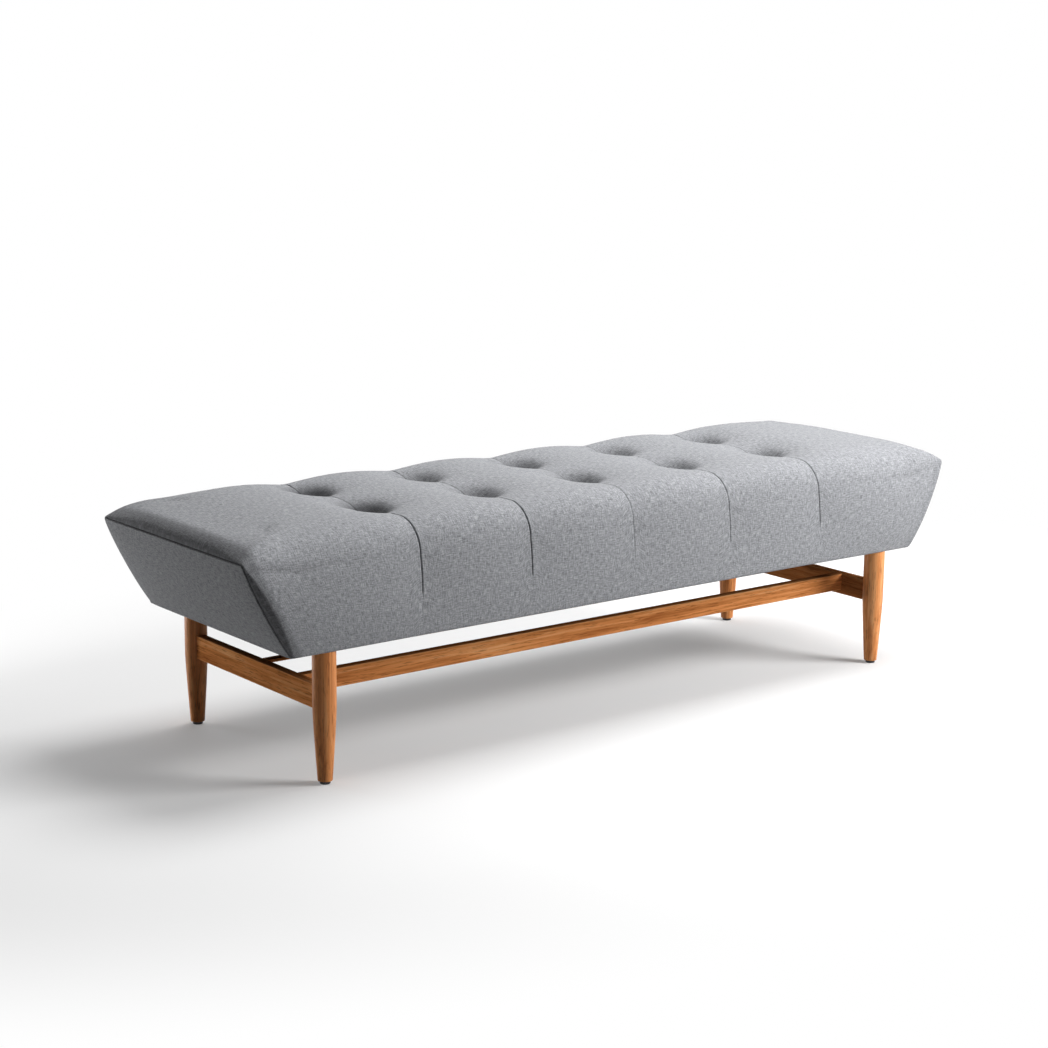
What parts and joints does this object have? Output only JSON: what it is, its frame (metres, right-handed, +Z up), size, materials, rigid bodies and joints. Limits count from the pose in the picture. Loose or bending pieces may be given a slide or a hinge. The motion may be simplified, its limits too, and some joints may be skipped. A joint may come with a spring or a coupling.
{
  "type": "upholstered bench",
  "caption": "Long upholstered bench: channelled, blind-tufted seat with ends that slope in towards the floor, on turned tapered legs with low stretchers.",
  "frame": {"origin": "on the floor, under the centre of the bench", "axes": "+X along the bench to the right as seen from the front, +Y from the front to the back, +Z up"},
  "size_m": [1.6, 0.459, 0.429],
  "materials": {
    "cover_fabric": "heathered grey woven upholstery fabric, matt",
    "dust_cloth": "thin black non-woven cloth, matt",
    "foam": "cut upholstery foam",
    "walnut": "satin clear finish over warm brown hardwood",
    "frame_timber": "raw sawn softwood and plywood",
    "steel": "zinc-coated",
    "twine": "waxed upholstery twine",
    "glide_plastic": "matt"
  },
  "bodies": {
    "root": {"seat_cover": "cover_fabric", "end_panel_left": "cover_fabric", "end_panel_right": "cover_fabric", "end_board_left": "frame_timber", "end_board_right": "frame_timber", "frame_rail_front": "frame_timber", "frame_rail_back": "frame_timber", "deck_board": "frame_timber", "corner_block_front_left": "frame_timber", "corner_block_front_right": "frame_timber", "corner_block_back_left": "frame_timber", "corner_block_back_right": "frame_timber", "cross_brace_1": "frame_timber", "cross_brace_2": "frame_timber", "cross_brace_3": "frame_timber", "cross_brace_4": "frame_timber", "foam_core": "foam", "dust_cover": "dust_cloth", "leg_front_left": "walnut", "leg_front_right": "walnut", "leg_back_left": "walnut", "leg_back_right": "walnut", "end_stretcher_left": "walnut", "end_stretcher_right": "walnut", "front_rail": "walnut", "centre_slat": "walnut", "foot_glide_front_left": "glide_plastic", "foot_glide_front_right": "glide_plastic", "foot_glide_back_left": "glide_plastic", "foot_glide_back_right": "glide_plastic", "leg_plate_front_left": "steel", "leg_plate_front_right": "steel", "leg_plate_back_left": "steel", "leg_plate_back_right": "steel", "hanger_bolt_front_left": "steel", "hanger_bolt_front_right": "steel", "hanger_bolt_back_left": "steel", "hanger_bolt_back_right": "steel", "tie_washer_front_1": "steel", "tie_washer_back_1": "steel", "tie_washer_front_2": "steel", "tie_washer_back_2": "steel", "tie_washer_front_3": "steel", "tie_washer_back_3": "steel", "tie_washer_front_4": "steel", "tie_washer_back_4": "steel", "tie_washer_front_5": "steel", "tie_washer_back_5": "steel", "tuft_tie_front_1": "twine", "tuft_tie_back_1": "twine", "tuft_tie_front_2": "twine", "tuft_tie_back_2": "twine", "tuft_tie_front_3": "twine", "tuft_tie_back_3": "twine", "tuft_tie_front_4": "twine", "tuft_tie_back_4": "twine", "tuft_tie_front_5": "twine", "tuft_tie_back_5": "twine"}
  },
  "joints": []
}
